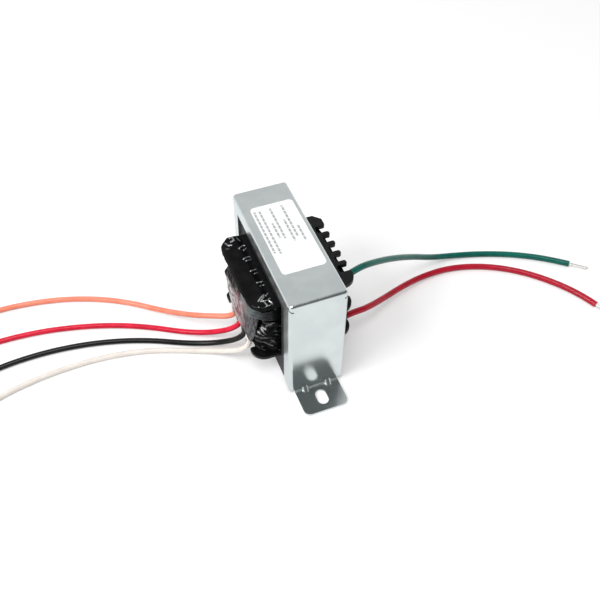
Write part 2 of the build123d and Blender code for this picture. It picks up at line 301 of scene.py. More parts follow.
def addLeadCurve(name, route, diameter):
    curve = bpy.data.curves.new(name, "CURVE")
    curve.dimensions = "3D"
    curve.bevel_depth = diameter / 2 * mm
    curve.bevel_resolution = leads["stepsAround"]
    curve.resolution_u = leads["stepsAlong"]
    curve.use_fill_caps = True
    spline = curve.splines.new("NURBS")
    spline.points.add(len(route) - 1)
    for point, spot in zip(spline.points, route):
        point.co = (spot[0] * mm, spot[1] * mm, spot[2] * mm, 1.0)
    spline.order_u = leads["curveOrder"]
    spline.use_endpoint_u = True
    piece = bpy.data.objects.new(name, curve)
    scene.collection.objects.link(piece)
    return piece


# Twisted strands as one lobed bar, rounded at its tip
def addStrands(name, route, diameter):
    around = 48
    along = 60
    lobes = 6
    grooveDepth = 0.2
    tipRows = 6
    tipRounding = 0.7
    start = Vector(route[-1])
    heading = (start - Vector(route[-2])).normalized()
    side = heading.cross(Vector((0, 0, 1))).normalized()
    over = side.cross(heading)
    radius = leads["strandShare"] * diameter / 2
    points = []
    faces = []
    for row in range(along + 1):
        run = row / along * leads["strip"]
        nearTip = max(0.0, 1 - (along - row) / tipRows)
        shrink = math.sqrt(1 - nearTip ** 2 * tipRounding)
        twist = run / leads["twistPitch"] * 2 * math.pi
        for step in range(around):
            angle = step / around * 2 * math.pi
            groove = 1 - grooveDepth * (1 - abs(math.sin(angle * lobes / 2)))
            reach = radius * groove * shrink
            spin = angle + twist
            spot = start + heading * run + (side * math.cos(spin) + over * math.sin(spin)) * reach
            points.append(spot * mm)
    for row in range(along):
        for step in range(around):
            nextStep = (step + 1) % around
            low = row * around
            high = low + around
            faces.append((low + step, low + nextStep, high + nextStep, high + step))
    faces.append(tuple(reversed(range(around))))
    faces.append(tuple(range(along * around, (along + 1) * around)))
    return newMesh(name, points, faces)


# Each lead's main shade, its deeper shade and its slot
leadColours = {
    "orange_lead": ((0.84, 0.27, 0.18), (0.76, 0.21, 0.13), "orange_insulation"),
    "red_lead": ((0.70, 0.012, 0.045), (0.56, 0.006, 0.03), "red_insulation"),
    "black_lead": ((0.006, 0.006, 0.007), (0.003, 0.003, 0.0035), "black_insulation"),
    "white_lead": ((0.76, 0.71, 0.66), (0.70, 0.65, 0.59), "white_insulation"),
    "green_lead": ((0.003, 0.125, 0.095), (0.002, 0.09, 0.07), "green_insulation"),
    "red_secondary_lead": ((0.45, 0.008, 0.028), (0.36, 0.005, 0.02), "red_insulation"),
}

insulationFinish = {
    "driftGrain": 0.006,
    "fineGrain": 0.0005,
    "fineDepth": 0.00002,
    "roughness": 0.2,
    "sheen": 0.2,
    "coat": 0.08,
    "coatRoughness": 0.08,
}


def insulation(name, shade, depth):
    material, kit = newMaterial(name)
    drift = kit.noise(insulationFinish["driftGrain"], 2.0)
    fine = kit.noise(insulationFinish["fineGrain"], 2.0)
    colour = kit.blend(drift.ramp(0.3, 0.75), rgb(*shade), rgb(*depth))
    kit.finish(kit.shader(
        Base_Color=colour, Roughness=insulationFinish["roughness"] + 0.1 * fine,
        Specular_IOR_Level=insulationFinish["sheen"],
        Coat_Weight=insulationFinish["coat"] + 0.1 * drift,
        Coat_Roughness=insulationFinish["coatRoughness"],
        Normal=kit.bump(fine, insulationFinish["fineDepth"]),
    ))
    return material


tinned = {
    "bright": (0.78, 0.77, 0.75),
    "tarnished": (0.60, 0.58, 0.55),
    "tarnishGrain": 0.0012,
    "roughness": 0.22,
}


def tinnedStrands():
    material, kit = newMaterial("tinned strands")
    tarnish = kit.noise(tinned["tarnishGrain"], 3.0)
    colour = kit.blend(tarnish.ramp(0.35, 0.7), rgb(*tinned["bright"]), rgb(*tinned["tarnished"]))
    kit.finish(kit.shader(
        Base_Color=colour, Metallic=1.0, Roughness=tinned["roughness"] + 0.25 * tarnish,
    ))
    return material


def addLeads():
    strandFinish = tinnedStrands()
    for name, route in routes.items():
        isSecondary = name in ("green_lead", "red_secondary_lead")
        diameter = leads["secondaryDiameter"] if isSecondary else leads["primaryDiameter"]
        strands = addStrands(name + "_strands", route, diameter)
        place(strands, strandFinish, [name + "_end"], "tinned_strands")
        lead = addLeadCurve(name + "_insulation", route, diameter)
        shade, depth, slotName = leadColours[name]
        place(lead, insulation(name + " insulation", shade, depth), [name], slotName)
        exit = [value * mm for value in route[0]]
        diameter * mm


addLeads()
print("leads laid")


creaseReach = 3.0  # How far a crease is followed to its sides, in its own widths


# Height of a crumpled sheet: each crease is a smooth ridge along a short line
def creaseHeight(across, along, creases):
    highest = 0.0
    for startA, startB, endA, endB, width, height in creases:
        runA = endA - startA
        runB = endB - startB
        span = runA * runA + runB * runB
        share = ((across - startA) * runA + (along - startB) * runB) / span
        share = min(1.0, max(0.0, share))
        offA = across - startA - share * runA
        offB = along - startB - share * runB
        gap = (offA * offA + offB * offB) / (width * width)
        if gap < creaseReach ** 2:
            highest = max(highest, height * math.exp(-gap))
    return highest


# 0 below the first value, 1 above the second, smooth between
def smoothStep(value, low, high):
    share = min(1.0, max(0.0, (value - low) / (high - low)))
    return share * share * (3 - 2 * share)


# Straight-line value between pairs of place and value
def between(value, knots):
    for (startAt, start), (endAt, end) in zip(knots, knots[1:]):
        if value <= endAt:
            share = max(0.0, (value - startAt) / (endAt - startAt))
            return start + share * (end - start)
    return knots[-1][1]


# A sheet over a grid of places, thickened towards its back, that knows where it is creased
def newSheet(name, rows, columns, spotAt, thickness, closed=False):
    points = []
    faces = []
    sharpness = []
    width = columns if closed else columns + 1
    for row in range(rows + 1):
        for column in range(width):
            spot = spotAt(row / rows, column / columns)
            points.append(Vector(spot[:3]) * mm)
            sharpness.append(spot[3])
    for row in range(rows):
        for column in range(columns):
            nextColumn = (column + 1) % width
            low = row * width
            high = low + width
            faces.append((low + column, low + nextColumn, high + nextColumn, high + column))
    piece = newMesh(name, points, faces)
    piece.data.attributes.new("crease", "FLOAT", "POINT").data.foreach_set("value", sharpness)
    solid = piece.modifiers.new("thickness", "SOLIDIFY")
    solid.thickness = thickness * mm
    solid.offset = -1.0
    return piece


# Place on an upright ring with rounded corners, by distance from the middle of its -X side
def ringPlace(distance, halfX, halfY, corner):
    innerX = halfX - corner
    innerY = halfY - corner
    arc = corner * math.pi / 2
    legs = [
        (innerY, (-halfX, 0), (0, -1), None), (arc, (-innerX, -innerY), None, 180),
        (2 * innerX, (-innerX, -halfY), (1, 0), None), (arc, (innerX, -innerY), None, 270),
        (2 * innerY, (halfX, -innerY), (0, 1), None), (arc, (innerX, innerY), None, 0),
        (2 * innerX, (innerX, halfY), (-1, 0), None), (arc, (-innerX, innerY), None, 90),
        (innerY, (-halfX, innerY), (0, -1), None),
    ]
    rest = distance % sum(leg[0] for leg in legs)
    index = 0
    while index < len(legs) - 1 and rest > legs[index][0]:
        rest -= legs[index][0]
        index += 1
    _, (startX, startY), heading, angle = legs[index]
    if heading:
        outward = (heading[1], -heading[0])
        return (startX + heading[0] * rest, startY + heading[1] * rest), outward
    turned = math.radians(angle) + rest / corner
    outward = (math.cos(turned), math.sin(turned))
    return (startX + outward[0] * corner, startY + outward[1] * corner), outward


# Straight runs with their corners rounded, as many short steps
def roundedPath(corners, radii, step=0.12):
    path = [Vector(corners[0])]
    for before, here, after, radius in zip(corners, corners[1:], corners[2:], radii):
        here = Vector(here)
        runIn = (here - Vector(before)).normalized()
        runOut = (Vector(after) - here).normalized()
        turn = runIn.angle_signed(runOut)
        reach = radius * math.tan(abs(turn) / 2)
        side = Vector((runIn.y, -runIn.x)) * (1 if turn > 0 else -1)
        start = here - runIn * reach
        centre = start + side * radius
        steps = max(2, int(radius * abs(turn) / step))
        for index in range(steps + 1):
            angle = -turn * index / steps
            path.append(centre + Matrix.Rotation(angle, 2) @ (start - centre))
    path.append(Vector(corners[-1]))
    return path


# Black film pressed over the primary comb
film = {
    "halfX": 23.1,
    "halfY": 21.8,
    "corner": 6.3,
    "chamfer": 3.5,
    "chamferRound": 1.8,
    "top": 45.6,
    "innerX": 13.9,
    "fan": 10.0,
    "skirt": 3.9,
    "roll": 1.2,
    "crown": 0.2,
    "crownInset": 5.0,
    "sag": 0.5,
    "sagFrom": 14.2,
    "sagTo": 17.0,
    "skirtTuck": 0.22,
    "skirtShare": 0.24,
    "thickness": 0.12,
    "rows": 84,
    "columns": 340,
    "gatheredAt": (0.17, 0.83),
    "gathers": 8,
    "gatherWidth": 0.38,
    "wrinkles": 9,
    "wrinkleWidth": 0.7,
    "deepest": 5.2,
    "seed": 11,
}

# Creases on top of the film, in plan, as lines of places with a width and a height
filmCreases = [
    ([(-16.8, 13.0), (-14.7, 14.4), (-12.8, 14.2), (-13.0, 12.9), (-15.2, 11.7)], 0.38, 0.45),
    ([(-17.0, 6.5), (-15.0, 7.3), (-13.5, 7.3), (-12.9, 6.4)], 0.38, 0.45),
    ([(-16.3, 5.2), (-14.5, 5.5), (-13.2, 5.8)], 0.34, 0.40),
    ([(-16.5, -0.9), (-14.5, -0.5), (-12.8, -0.3), (-13.2, -2.0)], 0.38, 0.45),
    ([(-15.4, -2.6), (-13.4, -2.2)], 0.34, 0.36),
    ([(-16.3, -7.8), (-14.4, -7.7), (-12.6, -7.2)], 0.38, 0.42),
    ([(-15.5, -9.8), (-13.4, -9.4)], 0.34, 0.36),
    ([(-15.1, -15.4), (-14.0, -14.6), (-13.1, -14.3), (-12.6, -15.7), (-12.7, -17.6)], 0.34, 0.50),
    ([(-14.6, -17.3), (-13.1, -17.1)], 0.34, 0.35),
    ([(-18.9, -17.3), (-17.4, -16.0), (-15.7, -14.9), (-16.4, -16.3), (-18.0, -17.8)], 0.32, 0.55),
    ([(-18.0, -17.8), (-16.6, -18.2), (-14.9, -18.0), (-13.8, -20.1), (-13.5, -20.8)], 0.32, 0.50),
    ([(-19.9, -20.1), (-19.3, -21.3), (-17.3, -21.3), (-15.5, -20.8), (-14.1, -20.1)], 0.32, 0.48),
    ([(-16.9, -18.8), (-16.3, -20.5), (-17.1, -21.2)], 0.38, 0.45),
    ([(-18.7, 20.4), (-17.3, 20.7), (-17.3, 18.6), (-18.9, 17.9)], 0.38, 0.45),
    ([(-21.3, 18.0), (-20.5, 16.3), (-19.1, 16.1)], 0.38, 0.38),
    ([(-22.4, 15.0), (-20.8, 14.4)], 0.34, 0.22),
    ([(-15.6, 19.5), (-15.0, 17.6)], 0.38, 0.30),
]


# Distance in from the film's rim
def filmInset(x, y):
    fromX = film["halfX"] + x
    if y < 0:
        fromY = film["halfY"] + y
        corner = film["corner"]
        if fromX < corner and fromY < corner:
            return corner - math.hypot(corner - fromX, corner - fromY)
        return min(fromX, fromY)
    fromY = film["halfY"] - y
    return min(fromX, fromY, (fromX + fromY - film["chamfer"]) / math.sqrt(2))


# Upright creases of the film's skirt: gathers at its corners and faint wrinkles between
def filmGathers(around):
    chance = random.Random(film["seed"])
    gathers = []
    for share in film["gatheredAt"]:
        for _ in range(film["gathers"]):
            where = around * share + chance.uniform(-6, 6)
            lean = chance.uniform(-1.2, 1.2)
            deep = chance.uniform(3, film["deepest"])
            height = chance.uniform(0.10, 0.34)
            start = chance.uniform(0, 1.5)
            gathers.append((where, start, where + lean, deep, film["gatherWidth"], height))
    for _ in range(film["wrinkles"]):
        where = chance.uniform(0, around)
        height = chance.uniform(0.05, 0.14)
        end = where + chance.uniform(-3, 3)
        gathers.append((where, 0.5, end, film["deepest"], film["wrinkleWidth"], height))
    return gathers


def addCombFilm():
    halfX = film["halfX"]
    halfY = film["halfY"]
    cut = film["chamfer"]
    innerX = film["innerX"]
    corners = [
        (-innerX, -halfY), (-halfX, -halfY), (-halfX, halfY - cut), (-halfX + cut, halfY),
        (-innerX, halfY),
    ]
    rim = roundedPath(corners, [film["corner"], film["chamferRound"], film["chamferRound"]])
    travelled = [0.0]
    for start, end in zip(rim, rim[1:]):
        travelled.append(travelled[-1] + (end - start).length)
    around = travelled[-1]
    creases = []
    for line, width, height in filmCreases:
        for start, end in zip(line, line[1:]):
            creases.append((*start, *end, width, height))
    gathers = filmGathers(around)

    def rimPlace(share):
        distance = share * around
        index = 0
        while index < len(rim) - 2 and travelled[index + 1] < distance:
            index += 1
        run = rim[index + 1] - rim[index]
        part = (distance - travelled[index]) / run.length
        heading = run.normalized()
        return rim[index] + run * part, Vector((-heading.y, heading.x)), distance

    places = {}

    def spotAt(rowShare, columnShare):
        if columnShare not in places:
            places[columnShare] = rimPlace(columnShare)
        edge, outward, distance = places[columnShare]
        skirtShare = film["skirtShare"]
        roll = film["roll"]
        if rowShare < skirtShare:
            down = (1 - rowShare / skirtShare) * film["skirt"]
            fold = creaseHeight(distance, down, gathers) - film["skirtTuck"] * smoothStep(down, 0, 1)
            spot = edge + outward * fold
            return spot.x, spot.y, film["top"] - film["crown"] - roll - down, fold * 2
        inward = (rowShare - skirtShare) / (1 - skirtShare)
        spine = Vector((-innerX, film["fan"] * (2 * columnShare - 1)))
        spot = edge + (spine - edge) * inward
        inset = max(filmInset(spot.x, spot.y), 0.0)
        rolled = max(roll - inset, 0.0)
        z = film["top"] - roll + math.sqrt(max(roll * roll - rolled * rolled, 0.0))
        z -= film["crown"] * (1 - smoothStep(inset, 0.0, film["crownInset"]))
        ridge = creaseHeight(spot.x, spot.y, creases) * smoothStep(inset, 0.2, 1.2)
        z += ridge - film["sag"] * (1 - smoothStep(-spot.x, film["sagFrom"], film["sagTo"]))
        return spot.x, spot.y, z, ridge * 3

    return newSheet("film_over_comb", film["rows"], film["columns"], spotAt, film["thickness"])


# Tape wound round each section of the coil, crumpled at the primary side's corners
wrap = {
    "halfX": 20.41,
    "halfY": 20.3,
    "corner": 8.45,
    "sections": {"primary_tape": (13.25, 27.25), "secondary_tape": (29.05, 43.05)},
    "turnIn": 3.6,
    "turnRound": 0.8,
    "thickness": 0.3,
    "rows": 64,
    "columns": 420,
    "creases": 46,
    "crumpled": (9.0, 30.0),
    "farCornerShare": 0.3,
    "tallest": 0.9,
    "seed": 5,
}


def addCoilWraps():
    pieces = []
    around = 4 * (wrap["halfX"] + wrap["halfY"]) - 8 * wrap["corner"] + 2 * math.pi * wrap["corner"]
    chance = random.Random(wrap["seed"])
    for node, (low, high) in wrap["sections"].items():
        creases = []
        for _ in range(wrap["creases"]):
            where = chance.uniform(*wrap["crumpled"])
            if chance.random() < wrap["farCornerShare"]:
                where = around - where
            height = low + chance.uniform(0.5, 13.5)
            lean = chance.uniform(-1.0, 1.0)
            length = chance.uniform(2.0, 7.0)
            bend = chance.uniform(-3.5, 3.5)
            width = chance.uniform(0.30, 0.75)
            rise = chance.uniform(0.12, 0.5)
            end = (where + length * math.cos(lean), height + bend * 0.8)
            creases.append((where, height, *end, width, rise))

        def spotAt(rowShare, columnShare):
            distance = columnShare * around
            turnIn = wrap["turnIn"]
            travel = rowShare * (high - low + 2 * turnIn) - turnIn
            height = min(high, max(low, low + travel))
            inward = max(0.0, -travel, travel - (high - low))
            (x, y), outward = ringPlace(distance, wrap["halfX"], wrap["halfY"], wrap["corner"])
            ridge = min(creaseHeight(distance, height, creases), wrap["tallest"])
            lift = ridge * (1 - smoothStep(inward, 0, wrap["turnRound"])) - inward
            return x + outward[0] * lift, y + outward[1] * lift, height, ridge * 2

        piece = newSheet(
            node + "_wrap", wrap["rows"], wrap["columns"], spotAt, wrap["thickness"], closed=True,
        )
        pieces.append((node, piece))
    return pieces


creaseSpan = 20  # Length of a corner sheet in the measure of its creases


# A sheet stretched between two rings round the near corner of the coil
def cornerSheet(name, sheet, shareOut, creases):
    def ringSpot(ring, share):
        halfX, halfY, corner, start, end = ring
        return ringPlace(start + share * (end - start), halfX, halfY, corner)

    def spotAt(rowShare, columnShare):
        low, high = (between(columnShare, knots) for knots in sheet["heights"])
        z = low + rowShare * (high - low)
        (outX, outY), outward = ringSpot(sheet["outer"], columnShare)
        (inX, inY), _ = ringSpot(sheet["inner"], columnShare)
        part = shareOut(z, columnShare)
        lift = creaseHeight(columnShare * creaseSpan, z, creases)
        x = inX + (outX - inX) * part + outward[0] * lift
        y = inY + (outY - inY) * part + outward[1] * lift
        return x, y, z, lift * 2.5

    return newSheet(name, sheet["rows"], sheet["columns"], spotAt, sheet["thickness"])


# Black tape crumpled over the middle flange at the near corner
# A ring is its half sizes, its corner, and where on it the sheet starts and ends
cornerWrap = {
    "outer": (23.0, 21.7, 6.2, 14.6, 29.6),
    "inner": (20.75, 20.65, 8.8, 11.0, 25.6),
    "heights": ([(0, 22.6), (1, 22.6)], [(0, 34.0), (1, 34.0)]),
    "flange": (26.9, 29.4),
    "lean": 3.2,
    "thickness": 0.15,
    "rows": 60,
    "columns": 150,
    "creases": 34,
    "seed": 31,
}


def addCornerWrap():
    chance = random.Random(cornerWrap["seed"])
    creases = []
    for _ in range(cornerWrap["creases"]):
        where = chance.uniform(1, creaseSpan)
        height = chance.uniform(23, 33.5)
        run = chance.uniform(1.5, 5.0)
        rise = chance.uniform(-2.4, 2.4)
        width = chance.uniform(0.25, 0.55)
        ridge = chance.uniform(0.15, 0.55)
        creases.append((where, height, where + run, height + rise, width, ridge))
    low, high = cornerWrap["flange"]
    lean = cornerWrap["lean"]

    def shareOut(z, share):
        upperEnd = high + lean * (1 - 0.3 * share)
        return smoothStep(z, low - lean, low) * (1 - smoothStep(z, high, upperEnd))

    return cornerSheet("corner_wrap", cornerWrap, shareOut, creases)


# End of the clear tape, stuck over the film's edge round the near corner
tail = {
    "outer": (23.5, 22.15, 6.6, 8.0, 28.2),
    "inner": (21.0, 20.75, 8.7, 6.6, 23.9),
    "heights": (
        [
            (0, 40.0), (0.05, 38.0), (0.11, 35.0), (0.18, 33.6), (0.25, 34.6), (0.31, 36.0),
            (0.45, 37.8), (0.57, 39.2), (0.7, 39.5), (0.83, 38.6), (1, 37.2),
        ],
        [(0, 42.6), (0.25, 44.2), (0.5, 45.0), (0.62, 44.6), (0.78, 43.4), (1, 43.2)],
    ),
    "creases": [
        (1, 40.6, 9, 41.0, 0.5, 0.10), (5, 38.6, 16, 37.9, 0.6, 0.12),
        (9, 42.3, 18, 41.6, 0.45, 0.12), (13, 39.6, 20, 39.9, 0.5, 0.10),
    ],
    "thickness": 0.1,
    "rows": 30,
    "columns": 120,
}


def addTapeTail():
    def shareOut(z, _):
        return (0.75 + 0.25 * smoothStep(z, 33, 38)) * (1 - 0.35 * smoothStep(z, 43.4, 45.2))

    return cornerSheet("clear_tape_tail", tail, shareOut, tail["creases"])


# Clear tape leaning out over the middle comb and down over the lead joints
jointTape = {
    "near": -19.6,
    "far": 14.2,
    "top": 41.4,
    "profile": [
        (15.0, -23.75), (21.0, -23.85), (26.5, -23.85), (29.0, -23.6), (31.0, -23.2),
        (34.0, -22.6), (37.0, -22.0), (41.6, -21.35),
    ],
    "lowerEdge": [
        (-19.6, 28.0), (-18.8, 24.6), (-17.8, 22.2), (-15.5, 20.8), (-12.0, 21.4), (-9.6, 21.6),
        (-7.0, 19.8), (-4.0, 18.2), (0.0, 16.8), (2.9, 15.6), (6.0, 15.8), (7.4, 19.5),
        (9.7, 23.3), (12.0, 26.6), (14.2, 30.4),
    ],
    "corner": 5.9,
    "cornerStart": 15.5,
    "thickness": 0.1,
    "rows": 150,
    "columns": 190,
    "ragged": [(0.25, 2.3), (0.15, 5.1)],
    "creases": 16,
    "tallest": 0.6,
    "bulge": {"from": 16.0, "to": 36.0, "width": 1.0, "height": 0.22},
    "setBack": 0.3,
    "seed": 23,
}

# The primary leads' places along the bracket
primaryPlaces = {"orange_lead": 6.1, "red_lead": 0.0, "black_lead": -6.1, "white_lead": -12.2}


def addJointTape():
    chance = random.Random(jointTape["seed"])
    creases = []
    for _ in range(jointTape["creases"]):
        y = chance.uniform(-14, 9)
        z = chance.gauss(28.0, 3.0)
        run = chance.uniform(4, 9)
        rise = chance.uniform(0.5, 3.0)
        width = chance.uniform(0.3, 0.6)
        ridge = chance.uniform(0.10, 0.30)
        creases.append((y, z, y + run, z + rise, width, ridge))
    bulge = jointTape["bulge"]
    for y in primaryPlaces.values():
        end = y + chance.uniform(-0.4, 0.4)
        creases.append((y, bulge["from"], end, bulge["to"], bulge["width"], bulge["height"]))
    near = jointTape["near"]
    far = jointTape["far"]

    def spotAt(rowShare, columnShare):
        y = far + columnShare * (near - far)
        low = between(y, jointTape["lowerEdge"])
        for height, pitch in jointTape["ragged"]:
            low += height * math.sin(y * pitch)
        z = low + rowShare * (jointTape["top"] - low)
        x = between(z, jointTape["profile"])
        past = max(0.0, -y - jointTape["cornerStart"])
        corner = jointTape["corner"]
        x += corner - math.sqrt(corner * corner - past * past)
        ridge = min(creaseHeight(y, z, creases), jointTape["tallest"])
        return x + jointTape["setBack"] - ridge, y, z, ridge * 2

    return newSheet(
        "clear_joint_tape", jointTape["rows"], jointTape["columns"], spotAt, jointTape["thickness"],
    )


# The leads' roots, run up the coil's face under the clear tape
roots = {
    "x": 21.85,
    "low": 25.6,
    "high": 30.0,
    "tuck": 2.2,
}


def addLeadRoots():
    x = -roots["x"]
    tuck = roots["tuck"]
    pieces = []
    for name, y in primaryPlaces.items():
        spots = [
            (x, y, roots["low"]), (x, y + 0.15, 27.4), (x + 0.1, y - 0.2, 29.0),
            (x + tuck / 2, y + 0.3, roots["high"]), (x + tuck, y + 0.5, roots["high"] + 1.0),
        ]
        pieces.append((name, addLeadCurve(name + "_root", spots, leads["primaryDiameter"])))
    return pieces


# Bracket: zinc plate, cloudy and spangled, with its lips duller than its outer faces
plate = {
    "deep": (0.575, 0.62, 0.625),
    "pale": (0.64, 0.685, 0.685),
    "cloudGrain": 0.016,
    "spangleGrain": 0.003,
    "drawnGrain": 0.0012,
    "waveDepth": 0.00001,
    "roughness": 0.15,
    "lipRoughness": 0.12,
}


def zincPlate():
    material, kit = newMaterial("zinc plate")
    cloud = kit.noise(plate["cloudGrain"], 2.0)
    spangle = kit.noise(plate["spangleGrain"], 3.0, roughness=0.6)
    drawn = kit.noise(plate["drawnGrain"], 2.0, stretch=(1.0, 0.05, 0.05))
    tone = cloud * 0.75 + spangle * 0.25
    onLip = kit.facingX().ramp(0.6, 0.9)
    rough = plate["roughness"] + 0.06 * spangle + 0.03 * drawn + plate["lipRoughness"] * onLip
    kit.finish(kit.shader(
        Base_Color=kit.blend(tone.ramp(0.35, 0.68), rgb(*plate["deep"]), rgb(*plate["pale"])),
        Metallic=1.0, Roughness=rough,
        Normal=kit.bump(cloud * 0.9 + drawn * 0.1, plate["waveDepth"]),
    ))
    return material


# Core: dark varnished steel, with its sheets told apart on the edges of the stack
stack = {
    "sheet": 0.000505,
    "seam": (0.010, 0.010, 0.010),
    "edgeDark": (0.06, 0.06, 0.065),
    "edgePale": (0.13, 0.125, 0.12),
    "faceDark": (0.030, 0.030, 0.033),
    "facePale": (0.050, 0.049, 0.050),
    "mottleGrain": 0.002,
    "sheen": 0.25,
    "depth": 0.00005,
}


def laminatedSteel():
    material, kit = newMaterial("laminated steel")
    x, _, _ = kit.axes()
    edgeOn = kit.facingX() < 0.5
    layer = (x / stack["sheet"]).floor()
    across = (x / stack["sheet"]).fraction()
    inSheet = 1 - (across - 0.5).size().ramp(0.38, 0.48)
    shift = kit.add("ShaderNodeTexWhiteNoise", {"noise_dimensions": "1D"}, {"W": layer}).out("Value")
    mottle = kit.noise(stack["mottleGrain"], 4.0)
    edges = kit.blend(shift, rgb(*stack["edgeDark"]), rgb(*stack["edgePale"]))
    edges = kit.blend(inSheet, rgb(*stack["seam"]), edges)
    faces = kit.blend(mottle.ramp(0.35, 0.7), rgb(*stack["faceDark"]), rgb(*stack["facePale"]))
    kit.finish(kit.shader(
        Base_Color=kit.blend(edgeOn, faces, edges), Metallic=0.2 + 0.5 * edgeOn,
        Roughness=0.55 - 0.2 * edgeOn + 0.2 * mottle, Specular_IOR_Level=stack["sheen"],
        Normal=kit.bump(inSheet * edgeOn * 0.7 + mottle * 0.3, stack["depth"]),
    ))
    return material


# Black mouldings: the bobbin, and the sleeves at the secondary leads' exits
bobbinLook = {
    "name": "moulded black",
    "dark": (0.003, 0.003, 0.0033),
    "pale": (0.006, 0.006, 0.0063),
    "roughness": 0.3,
    "grain": 0.0008,
    "wideGrain": 0.004,
    "depth": 0.00002,
    "sheen": 0.2,
}
sleevingLook = {
    "name": "sleeving",
    "dark": (0.009, 0.009, 0.0099),
    "pale": (0.018, 0.018, 0.0189),
    "roughness": 0.35,
    "grain": 0.0005,
    "wideGrain": 0.004,
    "depth": 0.00004,
    "sheen": 0.5,
}


def mouldedBlack(look):
    material, kit = newMaterial(look["name"])
    fine = kit.noise(look["grain"], 3.0)
    wide = kit.noise(look["wideGrain"], 2.0)
    kit.finish(kit.shader(
        Base_Color=kit.blend(wide.ramp(0.35, 0.7), rgb(*look["dark"]), rgb(*look["pale"])),
        Roughness=look["roughness"] + 0.12 * fine + 0.06 * wide,
        Specular_IOR_Level=look["sheen"], Normal=kit.bump(fine, look["depth"]),
    ))
    return material


# Black film and tape: nearly black where flat, with a stronger coat along the pressed creases and a
# painted highlight, pale grey in the base colour, on the sharpest of them
filmLook = {
    "name": "creased film",
    "roughness": 0.10,
    "glint": 0.7,
    "paintedHighlightShare": 0.35,
}
wrapLook = {
    "name": "coil wrap",
    "roughness": 0.12,
    "glint": 0.35,
    "paintedHighlightShare": 0.12,
}
creased = {
    "dark": (0.0025, 0.0025, 0.003),
    "pale": (0.006, 0.006, 0.0065),
    "paintedHighlight": (0.30, 0.30, 0.31),
    "fineGrain": 0.0012,
    "wideGrain": 0.005,
    "fineDepth": 0.00003,
    "flatGlint": 0.04,
    "glintIndex": 2.5,
    "glintRoughness": 0.2,
}


def creasedBlack(look):
    material, kit = newMaterial(look["name"])
    crease = kit.add("ShaderNodeAttribute", {"attribute_name": "crease"}).out("Fac")
    fine = kit.noise(creased["fineGrain"], 3.0)
    wide = kit.noise(creased["wideGrain"], 2.0)
    colour = kit.blend(wide.ramp(0.35, 0.7), rgb(*creased["dark"]), rgb(*creased["pale"]))
    # The pale grey along the sharpest creases is a painted highlight
    paintedHighlight = crease.ramp(0.6, 1.3) * look["paintedHighlightShare"]
    glint = crease.ramp(0.25, 0.9) * (look["glint"] + 0.3 * wide)
    kit.finish(kit.shader(
        Base_Color=kit.blend(paintedHighlight, colour, rgb(*creased["paintedHighlight"])),
        Roughness=look["roughness"] + 0.08 * fine, IOR=1.0,
        Coat_Weight=creased["flatGlint"] + glint, Coat_IOR=creased["glintIndex"],
        Coat_Roughness=creased["glintRoughness"], Normal=kit.bump(fine, creased["fineDepth"]),
    ))
    return material


# Clear tape: pale where it bridges the joints, with painted highlights along its paler streaks, red
# where it lies on them, dark under the film
# Each pair is a darker and a paler shade, and each place is in metres in the part's frame; the paler
# shades of the pale and pink pairs are painted highlights
tapeLook = {
    "pale": ((0.20, 0.19, 0.19), (0.62, 0.61, 0.59)),
    "pink": ((0.13, 0.09, 0.095), (0.42, 0.35, 0.35)),
    "dull": ((0.030, 0.030, 0.032), (0.13, 0.13, 0.135)),
    "red": (0.17, 0.015, 0.035),
    "underFilm": (0.011, 0.0075, 0.0085),
    "underFrom": 0.0310,
    "underTo": 0.0350,
    "raggedness": 0.008,
    "raggedGrain": 0.004,
    "streakGrain": 0.0022,
    "hatchGrain": 0.0006,
    "blushGrain": 0.0017,
    "roughness": 0.2,
    "index": 1.12,
    "cover": 0.86,
    "depth": 0.00006,
}


def clearTape():
    material, kit = newMaterial("clear tape")
    _, y, z = kit.axes()
    streak = kit.noise(tapeLook["streakGrain"], 3.0, stretch=(1.0, 0.6, 0.8))
    hatch = kit.noise(tapeLook["hatchGrain"], 2.0, stretch=(1.0, 1.0, 0.15))
    blush = kit.noise(tapeLook["blushGrain"], 3.0, stretch=(1.0, 1.0, 0.3))
    ragged = tapeLook["raggedness"] * (kit.noise(tapeLook["raggedGrain"], 3.0) - 0.5)
    under = (z + 0.25 * y + ragged).ramp(tapeLook["underFrom"], tapeLook["underTo"])
    toned = {}
    # The paler shade of the pale and pink pairs, along the streaks, is a painted highlight of the
    # crumpled tape
    for name, mask in (
        ("pale", streak.ramp(0.42, 0.60)), ("pink", streak.ramp(0.32, 0.72)),
        ("dull", hatch.ramp(0.35, 0.65)),
    ):
        darker, paler = tapeLook[name]
        toned[name] = kit.blend(mask, rgb(*darker), rgb(*paler))
    hazeAndPaintedHighlight = kit.blend(y.ramp(0.001, 0.009), toned["pink"], toned["pale"])
    onJoint = y.ramp(-0.0080, -0.004) * (1 - y.ramp(0.0005, 0.004)) * z.ramp(0.019, 0.026)
    hazeAndPaintedHighlight = kit.blend(onJoint * blush.ramp(0.50, 0.58), hazeAndPaintedHighlight, rgb(*tapeLook["red"]))
    colour = kit.blend((y + ragged).ramp(-0.0125, -0.0055), toned["dull"], hazeAndPaintedHighlight)
    kit.finish(kit.shader(
        Base_Color=kit.blend(under, colour, rgb(*tapeLook["underFilm"])),
        Roughness=tapeLook["roughness"] + 0.15 * streak, IOR=tapeLook["index"],
        Alpha=tapeLook["cover"] + 0.12 * streak,
        Normal=kit.bump(streak * 0.6 + hatch * 0.4, tapeLook["depth"]),
    ))
    return material


# End of the clear tape: a painted grey-blue reflection beside the film, dark once it is round the
# corner
tailLook = {
    "dark": (0.050, 0.060, 0.062),
    "pale": (0.110, 0.130, 0.132),
    "aroundCorner": (0.012, 0.012, 0.013),
    "cornerFrom": -0.0232,
    "cornerTo": -0.0170,
    "raggedness": 0.004,
    "streakGrain": 0.002,
    "roughness": 0.2,
    "index": 1.2,
    "cover": 0.85,
    "depth": 0.00004,
}


